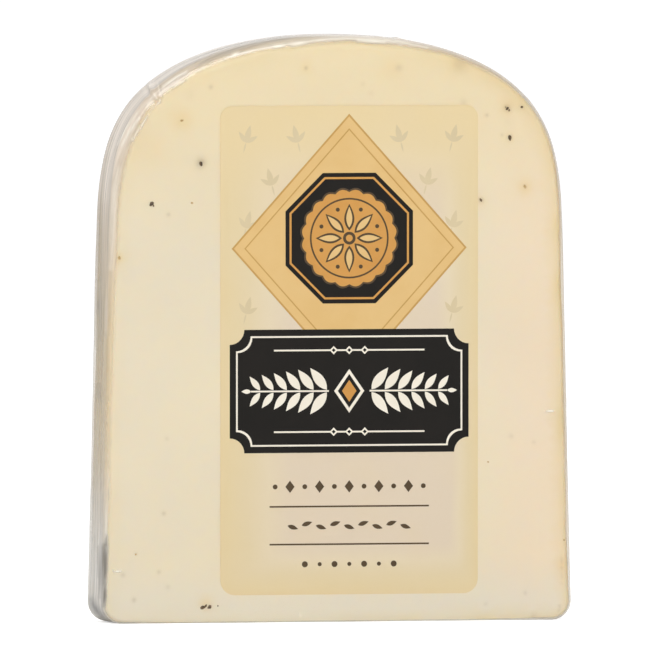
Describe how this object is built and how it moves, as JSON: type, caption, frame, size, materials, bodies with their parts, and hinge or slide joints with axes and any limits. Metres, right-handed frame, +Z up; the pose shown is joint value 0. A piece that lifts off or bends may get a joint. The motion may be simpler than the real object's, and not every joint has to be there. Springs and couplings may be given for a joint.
{
  "type": "film-wrapped goat cheese slab",
  "caption": "Upright domed slab of semi-firm goat cheese with truffle flecks, tight in clear film with a plain front label; stands on its flat base.",
  "frame": {"origin": "middle of the flat base that the slab stands on", "axes": "+Z up towards the dome, -Y out of the labelled front face, +X to the right as the front is read"},
  "size_m": [0.0966, 0.015, 0.1179],
  "materials": {
    "cheese": "cream semi-firm cheese under tight clear gloss film",
    "label": "satin printed label stock"
  },
  "bodies": {
    "root": {"wrapped_slab": "cheese", "front_label": "label"}
  },
  "joints": []
}
